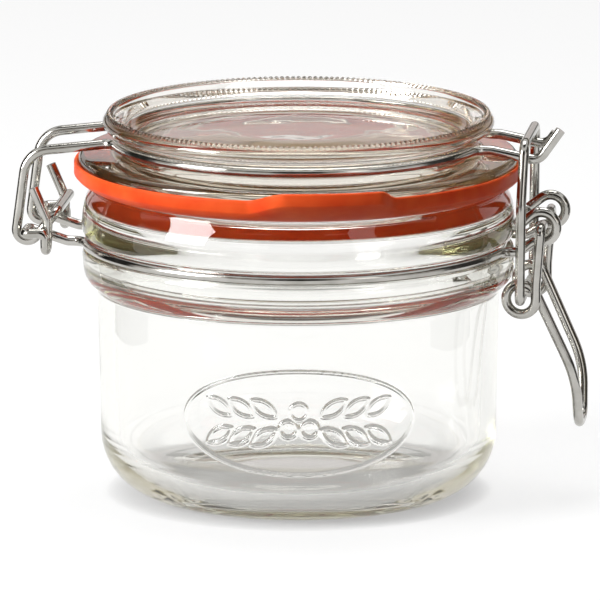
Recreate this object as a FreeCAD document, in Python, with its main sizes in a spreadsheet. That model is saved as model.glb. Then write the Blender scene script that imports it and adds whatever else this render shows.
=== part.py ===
import FreeCAD, Part
import math
import os

import Sketcher

# Clip-top storage jar: a glass body and a glass lid, a rubber seal between them, and four bent
# steel wires that hinge the lid on one side and clip it shut on the other. Millimetres.
# The jar's axis is Z and it stands on Z = 0. The clip is at +X, the hinge at -X, and the seal's
# pull tab points towards -Y.

doc = FreeCAD.newDocument("ClipTopJar")
sheet = doc.addObject("Spreadsheet::Sheet", "Sizes")

# Radii are steps from the neck's radius and heights are steps from the lip, so that the glass,
# the seal and the wires follow when the jar is made wider or taller.
DRIVING_SIZES = [
    ("neck_radius", 43.2, "outside of the neck, at the shoulder bead and the lip"),
    ("jar_height", 62.95, "top face of the lip"),
    ("glass_wall", 3.3, "wall of the body"),
    ("wire", 2.0, "diameter of the steel wire"),
    ("wire_gap", 0.35, "slack between a wire and the glass it lies in"),
    # jar body
    ("shoulder_step", 3.0, "body radius inside the neck radius"),
    ("body_taper", 0.6, "how much narrower the body is above the heel"),
    ("heel_radius", 12.5, "rounding between the wall and the foot"),
    ("foot_ring_width", 1.6, "flat ring that the jar stands on"),
    ("foot_push_up", 1.6, "rise of the underside inside the foot ring"),
    ("foot_fillet", 14.0, "rounding from the foot ring to the underside"),
    ("base_thickness", 4.4, "glass at the middle of the base"),
    ("inner_heel_radius", 8.2, "rounding between the floor and the bore"),
    ("shoulder_drop", 20.75, "start of the shoulder below the lip"),
    ("shoulder_lead", 0.9, "where the wall starts to flare, below the shoulder"),
    ("flare_out", 0.7, "how far the wall flares before it turns up into the bead"),
    ("flare_up", 0.35, "height of the flare above the shoulder"),
    ("flare_round", 1.5, "rounding of the flare"),
    ("bead_start", 3.3, "foot of the bead's upright face above the shoulder"),
    ("bead_round", 4.6, "rounding under the bead"),
    ("bead_crown", 4.5, "rounding over the top of the bead"),
    ("groove_drop", 11.55, "middle of the wire groove below the lip"),
    ("groove_depth", 1.9, "wire groove below the neck radius"),
    ("groove_round", 0.9, "rounding in the groove's corners"),
    ("groove_rim", 0.3, "groove's edges inside the neck radius"),
    ("bead_fall", 2.05, "crown of the bead, up and down"),
    ("lip_rise", 3.25, "belly of the lip above the groove"),
    ("lip_crown", 5.0, "rounding from the groove into the lip"),
    ("lip_bow", 11.0, "long rounding up the lip"),
    ("bore_bow", 18.0, "long rounding inside the shoulder"),
    ("bore_flare", 4.4, "where the bore widens below the groove"),
    ("bore_flare_end", 1.6, "where it ends below the shoulder"),
    ("lip_taper", 1.6, "lip narrower than the neck, just below the seal"),
    ("lip_round", 1.2, "rounding of the lip's edges"),
    ("mouth_step", 7.9, "bore of the mouth inside the neck radius"),
    # seal
    ("seat_gap", 0.05, "slack between glass and rubber"),
    ("seal_thickness", 2.9, "height of the rubber ring"),
    ("seal_overhang", 1.6, "rubber ring outside the neck radius"),
    ("seal_inset", 0.5, "rubber ring clear of the mouth's bore"),
    ("seal_edge", 0.4, "rounding of the ring's outer edge"),
    ("curl_start", 1.4, "where the ring's free edge starts to curl up, inside the neck radius"),
    ("curl_round", 2.9, "rounding of that curl"),
    ("curl_rise", 1.9, "how far the free edge's underside is lifted"),
    ("curl_top", 1.6, "free edge above the ring, beside the lid's flange"),
    ("curl_gap", 0.15, "slack between the free edge and the flange"),
    ("tab_reach", 4.6, "how far the pull tab stands out of the ring"),
    ("tab_lift", 1.1, "underside of the tab's root above the ring's underside"),
    ("tab_rise", 2.3, "how far the tab's end is bent up"),
    ("tab_thickness", 2.2, "thickness of the tab"),
    ("tab_root_half_width", 12.2, "half of the tab where it leaves the ring"),
    ("tab_end_half_width", 7.6, "half of the tab near its end"),
    ("tab_bend", 6.5, "bend of the tab"),
    ("tab_angle", -75.0, "direction of the tab round the jar, degrees from +X"),
    # lid
    ("flange_overhang", 0.7, "lid's flange outside the neck radius"),
    ("flange_thickness", 3.3, "height of the lid's flange"),
    ("waist_step", 7.3, "waist that the lid wire lies in, inside the neck radius"),
    ("waist_rise", 5.85, "middle of the waist above the flange's underside"),
    ("waist_half_height", 0.9, "straight part of the waist, up and down"),
    ("rim_step", 4.1, "lid's rim inside the neck radius"),
    ("rim_rise", 11.35, "top of the rim above the flange's underside"),
    ("rim_round", 1.9, "rounding of the rim"),
    ("dish_step", 8.6, "dish in the lid's top, inside the neck radius"),
    ("dish_depth", 4.6, "depth of the dish at its edge"),
    ("dish_crown", 0.9, "how much the dish's floor rises at the middle"),
    ("lid_glass_thickness", 3.4, "glass of the dish's floor"),
    ("dish_rim", 0.8, "dish's flared edge"),
    ("dish_round", 2.8, "rounding at the foot of the dish's wall"),
    ("dish_wall", 2.4, "height of that rounding"),
    ("rim_top_width", 2.4, "sloping top of the rim"),
    ("rim_slope", 0.5, "fall of that slope towards the dish"),
    ("rim_side", 3.3, "height of the rim's side"),
    ("rim_tuck", 0.6, "rim's side drawn in at its foot"),
    ("waist_round", 3.0, "rounding above the waist"),
    ("flange_fillet", 1.9, "rounding below the waist"),
    ("skirt_gap", 1.9, "lid's plug clear of the mouth's bore"),
    ("skirt_depth", 3.5, "plug below the flange"),
    ("skirt_draft", 0.5, "how much the plug narrows downwards"),
    ("skirt_edge", 0.8, "rounding between plug and flange"),
    ("skirt_land", 2.9, "plug's lower edge, across"),
    ("ceiling_round", 2.2, "rounding under the dish's floor"),
    # clip: distances out from the neck radius, and up or down from the groove or the waist
    ("eye_out", 6.5, "centre of the neck wire's eyes"),
    ("eye_rise", 5.2, "centre of the eyes above the groove"),
    ("eye_spread", 9.1, "an eye's distance from the middle plane"),
    ("eye_exit_angle", 128.0, "where the cross piece leaves the eye, degrees above +X"),
    ("coil_tuck", 0.4, "how far a coil reaches inside the neck radius"),
    ("coil_drop", 9.2, "centre of the coils below the groove"),
    ("coil_exit_angle", 24.5, "where the handle leaves its coil, degrees above +X"),
    ("handle_kink_drop", 16.3, "the handle's bend below the coils"),
    ("handle_tip_out", 13.6, "end of the handle"),
    ("handle_tip_drop", 26.4, "end of the handle below the coils"),
    ("handle_tip_half_width", 4.1, "half of the handle's closed end"),
    ("bar_out", 3.2, "the link's top bar"),
    ("bar_rise", 1.7, "the link's top bar above the waist"),
    ("link_straight", 19.0, "how far the link's legs stay parallel before they close in"),
    ("hook_spread", 8.6, "the hooks' distance from the middle plane"),
    ("hook_out", 5.8, "foot of the hooks"),
    ("hook_drop", 1.9, "foot of the hooks below the waist"),
    ("hook_slope", 55.0, "how steeply the hooks rise, degrees"),
    ("long_hook", 7.6, "length of the hook at the front"),
    ("short_hook", 3.0, "length of the hook at the back"),
    # hinge: distances out from the neck radius, and up or down from the groove or the waist
    ("hinge_out", 10.0, "hinge axis"),
    ("hinge_rise", 2.5, "hinge axis above the groove"),
    ("hinge_spread", 10.4, "the lid wire's hinge arms from the middle plane"),
    ("frame_corner_out", 10.1, "upper corners of the hinge arms"),
    ("frame_corner_drop", 2.1, "those corners below the waist"),
    ("cross_bar_out", 4.2, "the lid wire's closed end beside the hinge"),
    ("cross_bar_rise", 3.7, "that closed end above the hinge axis"),
    ("stop_back", 4.2, "the neck wire's end loops, back from the hinge axis"),
    ("stop_drop", 3.4, "bottom of the end loops below the hinge axis"),
    ("tail_out", 8.5, "cut end of the neck wire's tails"),
    ("tail_rise", 8.9, "cut end of the tails above the hinge axis"),
    # bends
    ("wide_bend", 3.0, "bends where a wire leaves its ring"),
    ("tight_bend", 1.3, "bends at pins"),
    ("corner_bend", 5.5, "upper corners of the hinge arms"),
    ("handle_bend", 20.0, "the handle's bend"),
]


class Size:
    """A length that knows its value and the sheet expression that gives it."""

    def __init__(self, value, text):
        self.value = value
        self.text = text

    def joined(self, sign, other, value):
        return Size(value, "(" + self.text + " " + sign + " " + other.text + ")")

    def __add__(self, other):
        other = as_size(other)
        return self.joined("+", other, self.value + other.value)

    def __sub__(self, other):
        other = as_size(other)
        return self.joined("-", other, self.value - other.value)

    def __mul__(self, factor):
        factor = as_size(factor)
        return self.joined("*", factor, self.value * factor.value)


def as_size(amount):
    return amount if isinstance(amount, Size) else Size(float(amount), repr(amount))


for row, (alias, amount, meaning) in enumerate(DRIVING_SIZES, start=1):
    sheet.set("A%d" % row, meaning)
    sheet.set("B%d" % row, str(amount))
    sheet.setAlias("B%d" % row, alias)
doc.recompute()

ZERO = Size(0.0, "0")
size = {alias: Size(float(sheet.get(alias)), "Sizes." + alias) for alias, _, _ in DRIVING_SIZES}

# Radii and heights that several pieces share.
neck = size["neck_radius"]
lip_top = size["jar_height"]
groove_height = lip_top - size["groove_drop"]
mouth = neck - size["mouth_step"]
flange_bottom = lip_top + size["seal_thickness"] + size["seat_gap"] * 2
waist = neck - size["waist_step"]
waist_height = flange_bottom + size["waist_rise"]
hinge_height = groove_height + size["hinge_rise"]
eye_height = groove_height + size["eye_rise"]
coil_height = groove_height - size["coil_drop"]
wire = size["wire"].value
slack = size["wire_gap"].value / 2
loop_radius = wire * 1.5
coil_across = neck.value + loop_radius - size["coil_tuck"].value


def origin_plane(body, role):
    return next(item for item in body.Origin.OriginFeatures if item.Role == role)


def bind_point(sketch, edge, point, across, up):
    """Ties one sketch point to the axes or, by expressions, to the sheet."""
    for kind, axis, amount in (("DistanceX", -2, across), ("DistanceY", -1, up)):
        if amount is ZERO:
            sketch.addConstraint(Sketcher.Constraint("PointOnObject", edge, point, axis))
            continue
        rule = Sketcher.Constraint(kind, -1, 1, edge, point, amount.value)
        sketch.setExpression("Constraints[%d]" % sketch.addConstraint(rule), amount.text)


def arc_between(start, end, radius):
    """A sketch arc and whether it runs forwards; a negative radius turns right on its way."""
    chord = end - start
    half = chord.Length / 2
    to_centre = math.sqrt(max(radius * radius - half * half, 0.0))
    left = FreeCAD.Vector(-chord.y, chord.x, 0).normalize()
    centre = (start + end) * 0.5 + left * math.copysign(to_centre, radius)
    angles = [math.atan2(point.y - centre.y, point.x - centre.x) for point in (start, end)]
    if radius < 0:
        angles.reverse()
    circle = Part.Circle(centre, FreeCAD.Vector(0, 0, 1), abs(radius))
    return Part.ArcOfCircle(circle, angles[0], angles[1]), radius > 0


def draw_outline(body, name, plane, corners):
    """A closed sketch through the corners (across, up, turn).

    The stretch that ends at a corner is straight where turn is None. Otherwise it is an arc:
    turn is ("left", radius) or ("right", radius), the way the outline turns along it.
    """
    sketch = body.newObject("Sketcher::SketchObject", name)
    sketch.AttachmentSupport = [(origin_plane(body, plane), "")]
    sketch.MapMode = "FlatFace"
    stretches = []
    for (across_0, up_0, _), (across_1, up_1, turn) in zip(corners[-1:] + corners[:-1], corners):
        start = FreeCAD.Vector(across_0.value, up_0.value, 0)
        end = FreeCAD.Vector(across_1.value, up_1.value, 0)
        if turn is None:
            stretches.append((sketch.addGeometry(Part.LineSegment(start, end), False), 1, 2))
            continue
        way, radius = turn[0], as_size(turn[1])
        arc, forwards = arc_between(start, end, radius.value if way == "left" else -radius.value)
        edge = sketch.addGeometry(arc, False)
        stretches.append((edge, 1, 2) if forwards else (edge, 2, 1))
        rule = Sketcher.Constraint("Radius", edge, radius.value)
        sketch.setExpression("Constraints[%d]" % sketch.addConstraint(rule), radius.text)
    for (edge, _, end), (following, start, _), corner in zip(
            stretches, stretches[1:] + stretches[:1], corners):
        sketch.addConstraint(Sketcher.Constraint("Coincident", edge, end, following, start))
        bind_point(sketch, edge, end, corner[0], corner[1])
    return sketch


def turned_body(name, corners):
    """A PartDesign body: the outline turned once round the jar's axis."""
    body = doc.addObject("PartDesign::Body", name)
    sketch = draw_outline(body, name + "_outline", "XZ_Plane", corners)
    turning = body.newObject("PartDesign::Revolution", name + "_turned")
    turning.Profile = (sketch, [""])
    turning.ReferenceAxis = (sketch, ["V_Axis"])
    turning.Angle = 360.0
    return body


def jar_glass():
    """Foot, body, shoulder bead, wire groove and lip outside; mouth, bore and floor inside."""
    body_radius = neck - size["shoulder_step"]
    heel_side = body_radius - size["body_taper"]
    foot = heel_side - size["heel_radius"]
    foot_ring = size["foot_ring_width"]
    push_up = size["foot_push_up"]
    shoulder = lip_top - size["shoulder_drop"]
    groove_half = size["wire"] * 0.5 + size["wire_gap"]
    groove_low = groove_height - groove_half
    groove_high = groove_height + groove_half
    groove_bottom = neck - size["groove_depth"]
    groove_rim = neck - size["groove_rim"]
    groove_round = size["groove_round"]
    lip_round = size["lip_round"]
    lip_side = neck - size["lip_taper"]
    bore = body_radius - size["glass_wall"]
    bore_low = heel_side - size["glass_wall"]
    floor = push_up + size["base_thickness"]
    inner_heel = size["inner_heel_radius"]
    return turned_body("jar_glass", [
        (ZERO, push_up, None),
        (foot * 0.5, push_up, None),
        (foot - foot_ring * 3, push_up * 0.4, None),
        (foot - foot_ring, ZERO, ("right", size["foot_fillet"])),
        (foot, ZERO, None),
        (heel_side, size["heel_radius"], ("left", size["heel_radius"])),
        (body_radius, shoulder - size["shoulder_lead"], None),
        (body_radius + size["flare_out"], shoulder + size["flare_up"], ("right", size["flare_round"])),
        (neck - 0.2, shoulder + size["bead_start"], ("left", size["bead_round"])),
        (neck, groove_low - size["bead_fall"], None),
        (groove_rim, groove_low, ("left", size["bead_crown"])),
        (groove_bottom + groove_round, groove_low, None),
        (groove_bottom, groove_low + groove_round, ("right", groove_round)),
        (groove_bottom, groove_high - groove_round, None),
        (groove_bottom + groove_round, groove_high, ("right", groove_round)),
        (groove_rim, groove_high, None),
        (neck, groove_high + size["lip_rise"], ("left", size["lip_crown"])),
        (lip_side, lip_top - lip_round, ("left", size["lip_bow"])),
        (lip_side - lip_round, lip_top, ("left", lip_round)),
        (mouth + lip_round, lip_top, None),
        (mouth, lip_top - lip_round, ("left", lip_round)),
        (mouth, groove_height - size["bore_flare"], None),
        (bore, shoulder - size["bore_flare_end"], ("right", size["bore_bow"])),
        (bore_low, floor + inner_heel, None),
        (bore_low - inner_heel, floor, ("right", inner_heel)),
        (ZERO, floor, None),
    ])


def lid_glass():
    """Flange on the seal, waist for the lid wire, rim round a dish, and a plug in the mouth."""
    flange = neck + size["flange_overhang"]
    flange_top = flange_bottom + size["flange_thickness"]
    rim = neck - size["rim_step"]
    rim_round = size["rim_round"]
    top = flange_bottom + size["rim_rise"]
    dish = neck - size["dish_step"]
    dish_floor = top - size["dish_depth"]
    ceiling = dish_floor - size["lid_glass_thickness"]
    skirt = mouth - size["skirt_gap"]
    skirt_low = flange_bottom - size["skirt_depth"]
    edge = size["lip_round"]
    small_edge = size["skirt_draft"]
    flange_shoulder = flange_top - 0.2
    crown = dish_floor + size["dish_crown"]
    side = top - size["rim_side"]
    plug = skirt - size["skirt_draft"]
    land = skirt - size["skirt_land"]
    round_under = size["ceiling_round"]
    return turned_body("lid_glass", [
        (ZERO, crown, None),
        (dish * 0.4, crown, None),
        (dish - size["waist_round"], dish_floor, None),
        (dish, dish_floor + size["dish_wall"], ("left", size["dish_round"])),
        (dish + size["dish_rim"], top - size["rim_slope"] - 0.6, None),
        (rim - size["rim_top_width"], top - size["rim_slope"], None),
        (rim - 1.4, top, ("right", edge)),
        (rim, top - rim_round, ("right", rim_round)),
        (rim - size["rim_tuck"], side, ("right", rim_round)),
        (waist, waist_height + size["waist_half_height"], ("left", size["waist_round"])),
        (waist, waist_height - size["waist_half_height"], None),
        (waist + size["flange_fillet"], flange_top + 0.1, ("left", size["flange_fillet"])),
        (flange - edge, flange_shoulder, None),
        (flange, flange_shoulder - edge, ("right", edge)),
        (flange, flange_bottom + small_edge, None),
        (flange - small_edge, flange_bottom, ("right", small_edge)),
        (skirt + size["skirt_edge"], flange_bottom, None),
        (skirt, flange_bottom - size["skirt_edge"], ("left", size["skirt_edge"])),
        (plug, skirt_low + edge, None),
        (plug - edge, skirt_low, ("right", edge)),
        (land, skirt_low, None),
        (land - 1.5, ceiling - round_under, None),
        (land - 1.5 - round_under, ceiling, ("left", round_under)),
        (ZERO, ceiling, None),
    ])


def seal():
    """The rubber ring, and its pull tab: a bent strip cut to a tongue and turned to its angle."""
    bottom = lip_top + size["seat_gap"]
    top = bottom + size["seal_thickness"]
    bore = mouth + size["seal_inset"]
    outside = neck + size["seal_overhang"]
    edge = size["seal_edge"]
    lifted = bottom + size["curl_rise"]
    rim = top + size["curl_top"]
    beside_flange = neck + size["flange_overhang"] + size["curl_gap"]
    body = turned_body("seal", [
        (bore, top, None),
        (bore, bottom, None),
        (neck - size["curl_start"], bottom, None),
        (outside - 0.3, lifted, ("left", size["curl_round"])),
        (outside, lifted + edge, None),
        (outside, rim - edge, None),
        (outside - edge, rim, ("left", edge)),
        (beside_flange, rim - 0.1, None),
        (beside_flange, top, None),
    ])

    low = bottom + size["tab_lift"]
    high = low + size["tab_thickness"]
    inside_ring = outside - 2.0
    root = outside + 0.6
    end = outside + size["tab_reach"]
    side_view = draw_outline(body, "tab_side", "XZ_Plane", [
        (beside_flange, high, None),
        (beside_flange, top - 0.1, None),
        (inside_ring, top - 0.1, None),
        (inside_ring, low, None),
        (root, low, None),
        (end, low + size["tab_rise"], ("left", size["tab_bend"])),
        (end - 0.9, high + size["tab_rise"] - 0.3, ("left", 1.6)),
        (root, high, ("right", size["tab_bend"])),
    ])
    strip = body.newObject("PartDesign::Pad", "tab_strip")
    strip.Profile = (side_view, [""])
    strip.SideType = "Symmetric"
    strip.setExpression("Length", size["tab_root_half_width"].text + " * 2")

    clear = size["tab_root_half_width"] + 4.0
    cut_start, corner, past_end = outside - 1.2, end - 1.6, end + 1.0
    for name, side in (("tab_left_cut", 1), ("tab_right_cut", -1)):
        corner_view = draw_outline(body, name + "_outline", "XY_Plane", [
            (cut_start, size["tab_root_half_width"] * side, None),
            (corner, size["tab_end_half_width"] * side, None),
            (past_end, (size["tab_end_half_width"] - 2.6) * side, None),
            (past_end, clear * side, None),
            (cut_start, clear * side, None),
        ])
        cut = body.newObject("PartDesign::Pocket", name)
        cut.Profile = (corner_view, [""])
        cut.Type = "ThroughAll"
        cut.Reversed = True
    body.Placement = FreeCAD.Placement(
        FreeCAD.Vector(0, 0, 0), FreeCAD.Rotation(FreeCAD.Vector(0, 0, 1), size["tab_angle"].value))
    body.setExpression("Placement.Rotation.Angle", size["tab_angle"].text)
    return body


# The wires. Each centre line is a chain of straight runs and tangent arcs, which no single
# sketch holds because it leaves the plane, so it is set as a shape. A circle is swept along it.


def place(across, depth, height):
    return FreeCAD.Vector(across, depth, height)


def out_from_neck(name):
    return neck.value + size[name].value


def straight(start, end):
    """One straight edge, or none where two bends meet."""
    if (end - start).Length < 0.001:
        return []
    return [Part.LineSegment(start, end).toShape()]


def bent_run(points, bends):
    """Straight runs through the points, each inner corner rounded by its bend radius."""
    edges = []
    start = points[0]
    for before, corner, after, bend in zip(points, points[1:], points[2:], bends):
        into = (corner - before).normalize()
        out = (after - corner).normalize()
        turn = into.getAngle(out)
        reach = bend * math.tan(turn / 2)
        inward = (out - into).normalize()
        middle = corner + inward * (bend / math.cos(turn / 2) - bend)
        begin = corner - into * reach
        finish = corner + out * reach
        edges += straight(start, begin)
        edges.append(Part.Arc(begin, middle, finish).toShape())
        start = finish
    return edges + straight(start, points[-1])


def mirrored(edges):
    """The same edges on the other side of the middle plane."""
    return [edge.mirror(place(0, 0, 0), place(0, 1, 0)) for edge in edges]


def around(centre, radius, degrees):
    """A point at an angle round a centre in the side view, measured up from +X."""
    turn = math.radians(degrees)
    return centre + place(radius * math.cos(turn), 0, radius * math.sin(turn))


def ring_exit(radius, height, spread, side, bend):
    """Where the front half of a ring stops, and the corner where the wire turns outwards.

    side is +1 at the clip and -1 at the hinge; past the corner the wire runs at y = -spread.
    """
    angle = math.acos(spread / radius)
    for _ in range(20):
        reach = bend * math.tan(angle / 2)
        angle = math.acos((spread + reach * math.sin(angle)) / radius)
    stop = place(side * radius * math.sin(angle), -radius * math.cos(angle), height)
    return stop, stop + place(side * math.cos(angle), math.sin(angle), 0) * reach


def front_half_ring(start, end):
    """The arc from start to end round the jar's axis, past -Y."""
    middle = place(0, -math.hypot(start.x, start.y), start.z)
    return Part.Arc(start, middle, end).toShape()


def swept_wire(name, edges):
    """Round wire along the joined edges: the centre line, a circle on its end and a sweep."""
    line = doc.addObject("Part::Feature", name + "_centre_line")
    line.Shape = Part.Wire(Part.__sortEdges__(edges))
    first = line.Shape.OrderedEdges[0]
    section = doc.addObject("Part::Circle", name + "_section")
    section.setExpression("Radius", size["wire"].text + " / 2")
    along = FreeCAD.Rotation(FreeCAD.Vector(0, 0, 1), first.tangentAt(first.FirstParameter))
    section.Placement = FreeCAD.Placement(first.valueAt(first.FirstParameter), along)
    sweep = doc.addObject("Part::Sweep", name)
    sweep.Sections = [section]
    sweep.Spine = (line, ["Edge%d" % (k + 1) for k in range(len(line.Shape.Edges))])
    sweep.Solid = True
    sweep.Frenet = False
    sweep.Transition = "Transformed"
    return sweep


def neck_wire():
    """Ring in the neck groove, eyes for the lever at the clip, pins and tails at the hinge."""
    wide, tight = size["wide_bend"].value, size["tight_bend"].value
    height = groove_height.value
    ring_radius = neck.value - size["groove_depth"].value + size["wire_gap"].value + wire / 2
    spread = size["eye_spread"].value
    eye = place(out_from_neck("eye_out"), -spread, eye_height.value)

    leave = size["eye_exit_angle"].value
    eye_exit = around(eye, loop_radius, leave)
    heading = around(place(0, 0, 0), 1.0, leave + 90)
    cross_across = neck.value + size["wire_gap"].value + wire / 2
    cross_corner = eye_exit + heading * ((cross_across - eye_exit.x) / heading.x)
    eye_edges = bent_run([place(cross_corner.x, 0, cross_corner.z), cross_corner, eye_exit], [1.6])
    eye_bottom = around(eye, loop_radius, -90)
    eye_edges.append(Part.Arc(eye_exit, around(eye, loop_radius, 20), eye_bottom).toShape())
    clip_stop, clip_corner = ring_exit(ring_radius, height, spread, 1, wide)
    clip_edges = bent_run([
        eye_bottom,
        eye_bottom - place(1.6, 0, 0),
        place(clip_corner.x + 3.3, -spread, height),
        clip_corner,
        clip_stop,
    ], [wide, wide, wide])

    inner = size["hinge_spread"].value - wire - slack
    tail_plane = size["hinge_spread"].value + wire + slack
    stop_plane = tail_plane + wire + slack
    pin = place(-out_from_neck("hinge_out"), 0, hinge_height.value)
    stop_across = pin.x + size["stop_back"].value
    stop_bottom = pin.z - size["stop_drop"].value
    hinge_stop, hinge_corner = ring_exit(ring_radius, height, inner, -1, wide)
    hinge_edges = bent_run([
        hinge_stop,
        hinge_corner,
        place(hinge_corner.x - 3.5, -inner, height),
        place(pin.x, -inner, pin.z),
        place(pin.x, -stop_plane, pin.z),
        place(stop_across, -stop_plane, pin.z + 0.2),
        place(stop_across, -stop_plane, stop_bottom),
        place(stop_across, -tail_plane, stop_bottom),
        place(stop_across + 0.2, -tail_plane, pin.z + 2.2),
        place(-out_from_neck("tail_out"), -tail_plane, pin.z + size["tail_rise"].value),
    ], [wide, wide, tight - 0.2, tight - 0.2, tight, wire / 2 + slack / 2, wire / 2 + slack / 2, wire])
    half = eye_edges + clip_edges + [front_half_ring(hinge_stop, clip_stop)] + hinge_edges
    return swept_wire("neck_wire", half + mirrored(half))


def lid_wire():
    """Ring in the lid's waist, hooks for the link at the clip, loops round the hinge pins."""
    wide = size["wide_bend"].value
    height = waist_height.value
    ring_radius = waist.value + size["wire_gap"].value + wire / 2

    spread = size["hook_spread"].value
    clip_stop, clip_corner = ring_exit(ring_radius, height, spread, 1, wide)
    foot = place(out_from_neck("hook_out"), -spread, height - size["hook_drop"].value)

    def hook(length):
        return bent_run([
            clip_stop,
            clip_corner,
            place(clip_corner.x + 3.2, -spread, height),
            foot,
            around(foot, size[length].value, size["hook_slope"].value),
        ], [wide, wide * 2, 2.6])

    arm = size["hinge_spread"].value
    pin = place(-out_from_neck("hinge_out"), -arm, hinge_height.value)
    hinge_stop, hinge_corner = ring_exit(ring_radius, height, arm, -1, wide)
    frame_corner = place(-out_from_neck("frame_corner_out"), -arm,
                         height - size["frame_corner_drop"].value)
    bar = place(-out_from_neck("cross_bar_out"), -arm, pin.z + size["cross_bar_rise"].value)
    loop = wire + slack

    def touch(point, side):
        """Where the straight run from a point meets the loop round the pin."""
        away = point - pin
        towards = math.degrees(math.atan2(away.z, away.x))
        return around(pin, loop, towards + side * math.degrees(math.acos(loop / away.Length)))

    into, out = touch(frame_corner, 1), touch(bar, -1)
    hinge_edges = bent_run([hinge_stop, hinge_corner, frame_corner, into],
                           [wide, size["corner_bend"].value])
    hinge_edges.append(Part.Arc(into, around(pin, loop, -90), out).toShape())
    hinge_edges += bent_run([out, bar, place(bar.x, 0, bar.z)], [wire])
    half = [front_half_ring(hinge_stop, clip_stop)] + hinge_edges
    return swept_wire(
        "lid_wire", hook("long_hook") + half + mirrored(half + hook("short_hook")))


def lever():
    """Pins in the eyes, arms down to one coil each side, and a long closed handle."""
    arm_plane = size["eye_spread"].value + wire + slack
    coil = place(coil_across, -arm_plane, coil_height.value)
    step = (wire + 0.1) / 2

    def half_turn(start, end, inward_at_right, inward_at_left):
        """Half a coil, in a plane that leans inwards from one side to the other."""
        def at(degrees):
            share = (1 + math.cos(math.radians(degrees))) / 2
            inward = inward_at_left + (inward_at_right - inward_at_left) * share
            return around(coil, loop_radius, degrees) + place(0, inward, 0)
        return Part.Arc(at(start), at((start + end) / 2), at(end)).toShape(), at(end)

    leave = size["coil_exit_angle"].value
    outer_half, _ = half_turn(0, -180, 0, step)
    inner_half, coil_exit = half_turn(180, leave, step * 2, step)
    top = around(coil, loop_radius, 0)
    pin = place(out_from_neck("eye_out"), -arm_plane, eye_height.value)
    arm_edges = bent_run([pin + place(0, wire * 2 + slack, 0), pin, top + place(0, 0, 3.0), top],
                         [size["tight_bend"].value, 18.0])

    heading = around(place(0, 0, 0), 1.0, leave - 90)
    heading.y = step / (2 * loop_radius) * heading.x
    drop = size["handle_kink_drop"].value + coil_exit.z - coil.z
    kink = coil_exit + heading * (drop / -heading.z)
    tip = place(out_from_neck("handle_tip_out"), -size["handle_tip_half_width"].value,
                coil.z - size["handle_tip_drop"].value)
    handle_edges = bent_run([coil_exit, kink, tip, place(tip.x, 0, tip.z)],
                            [size["handle_bend"].value, size["handle_tip_half_width"].value - 0.5])
    half = arm_edges + [outer_half, inner_half] + handle_edges
    return swept_wire("lever", half + mirrored(half))


def link():
    """U-shaped bail: top bar in the hooks, legs down to pins inside the lever's coils."""
    leg_plane = size["eye_spread"].value + (wire + slack) * 2
    bar_plane = size["hook_spread"].value + wire + slack
    foot = place(coil_across, -leg_plane, coil_height.value)
    bar = place(out_from_neck("bar_out"), -bar_plane, waist_height.value + size["bar_rise"].value)
    half = bent_run([
        place(foot.x, -size["eye_spread"].value + slack, foot.z),
        foot,
        foot + place(0.2, 0, size["link_straight"].value),
        bar,
        place(bar.x, 0, bar.z),
    ], [size["tight_bend"].value, 12.0, 2.6])
    return swept_wire("link", half + mirrored(half))


nodes = [jar_glass(), lid_glass(), seal(), neck_wire(), lid_wire(), lever(), link()]
doc.recompute()

for item in doc.Objects:
    if "Invalid" in item.State or "Error" in item.State:
        raise RuntimeError("%s failed: %s" % (item.Name, item.State))
os.makedirs("parts", exist_ok=True)
for node in nodes:
    if node.Shape.isNull() or not node.Shape.isValid():
        raise RuntimeError("%s has no sound shape" % node.Name)
    node.Label = node.Name
    print("%-10s %9.1f mm3" % (node.Label, node.Shape.Volume))
    node.Shape.exportStep("parts/%s.step" % node.Label)
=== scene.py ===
# %% [markdown]
# # A clip-top storage jar
#
# This lesson dresses the CAD model of a storage jar: pressed clear glass, an orange rubber seal
# and bright steel wire. The CAD model is the frame, and nothing in it is moved. Its wires are
# good as they are and only get a plated finish. The glass and the seal are made again here,
# because light shows every small rounding, bead and bevel in glass, and the solids leave most
# of those out.

import math

import bmesh
import bpy
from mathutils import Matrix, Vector


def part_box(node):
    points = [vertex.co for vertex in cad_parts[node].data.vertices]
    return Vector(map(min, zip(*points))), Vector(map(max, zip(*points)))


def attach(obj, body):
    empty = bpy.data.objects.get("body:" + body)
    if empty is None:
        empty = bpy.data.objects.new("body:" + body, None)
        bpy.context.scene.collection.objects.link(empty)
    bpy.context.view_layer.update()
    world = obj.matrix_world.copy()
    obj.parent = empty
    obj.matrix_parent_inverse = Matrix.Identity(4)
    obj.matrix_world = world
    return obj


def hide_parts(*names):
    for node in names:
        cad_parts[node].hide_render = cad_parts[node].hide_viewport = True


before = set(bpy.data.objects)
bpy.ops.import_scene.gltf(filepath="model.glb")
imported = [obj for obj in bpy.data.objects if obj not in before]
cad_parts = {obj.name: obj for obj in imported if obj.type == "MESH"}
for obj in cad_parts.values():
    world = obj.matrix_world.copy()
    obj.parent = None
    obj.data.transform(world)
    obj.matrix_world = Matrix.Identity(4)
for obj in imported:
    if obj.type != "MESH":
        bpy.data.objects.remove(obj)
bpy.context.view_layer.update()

# %% [markdown]
# ## Sizes
# Sizes could be typed in as plain numbers, but then a change in the CAD model would leave the
# dressing behind. So every place is measured from the solids: radii are steps from the neck, and
# heights are steps from the lip or from the lid's underside. Lengths are in millimetres until a
# mesh is made, because a jar's roundings are easier to read that way.

# %% Sizes from the frame
MM = 0.001
SEAL_PROUD = 1.6
SEAL_THICK = 2.9
NECK_TO_MOUTH = 7.9


def box_mm(node):
    """A CAD node's lowest and highest corner in millimetres."""
    low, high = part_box(node)
    return low / MM, high / MM


_, jar_high = box_mm("jar_glass")
_, lid_high = box_mm("lid_glass")
seal_low, seal_high = box_mm("seal")
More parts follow.
